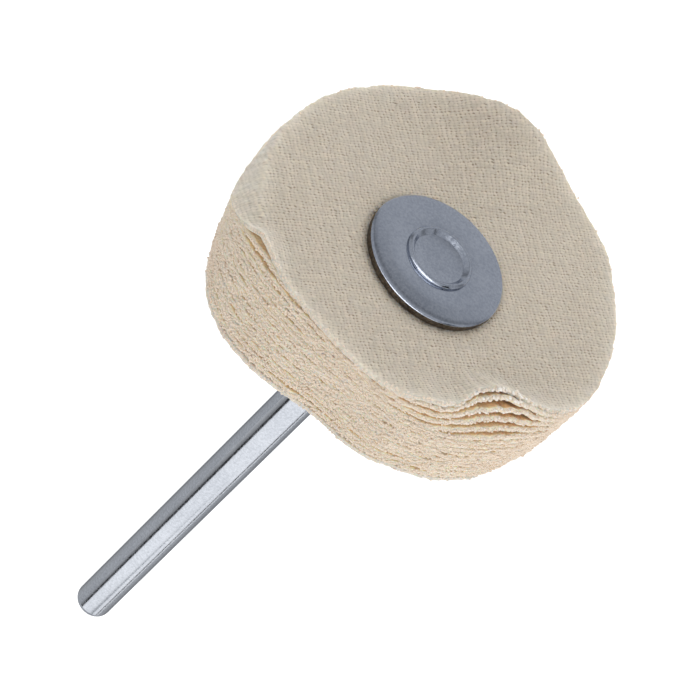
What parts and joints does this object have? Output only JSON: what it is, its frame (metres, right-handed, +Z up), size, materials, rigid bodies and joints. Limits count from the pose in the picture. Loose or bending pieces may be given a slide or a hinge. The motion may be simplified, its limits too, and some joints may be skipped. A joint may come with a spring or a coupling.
{
  "type": "mounted buffing wheel",
  "caption": "Small mounted buff: a loose stack of woven cotton plies between steel washers, riveted on a steel shank with a dished head, for polishing in a collet.",
  "frame": {"origin": "on the mandrel's axis, at the shoulder where the plain shank starts and the rear washer rests", "axes": "+Y along the shank towards its free end, +Z up; the wheel turns about Y"},
  "size_m": [0.0289, 0.0533, 0.0287],
  "materials": {
    "cotton_cloth": "woven cotton, natural unbleached",
    "washer_steel": "satin, rolled sheet",
    "mandrel_steel": "drawn and polished"
  },
  "bodies": {
    "root": {"mandrel": "mandrel_steel", "front_washer": "washer_steel", "rear_washer": "washer_steel", "cloth_ply_01": "cotton_cloth", "cloth_ply_02": "cotton_cloth", "cloth_ply_03": "cotton_cloth", "cloth_ply_04": "cotton_cloth", "cloth_ply_05": "cotton_cloth", "cloth_ply_06": "cotton_cloth", "cloth_ply_07": "cotton_cloth", "cloth_ply_08": "cotton_cloth", "cloth_ply_09": "cotton_cloth", "cloth_ply_10": "cotton_cloth", "cloth_ply_11": "cotton_cloth", "cloth_ply_12": "cotton_cloth", "cloth_ply_13": "cotton_cloth", "cloth_ply_14": "cotton_cloth", "cloth_ply_15": "cotton_cloth", "cloth_ply_16": "cotton_cloth", "cloth_ply_17": "cotton_cloth"}
  },
  "joints": []
}
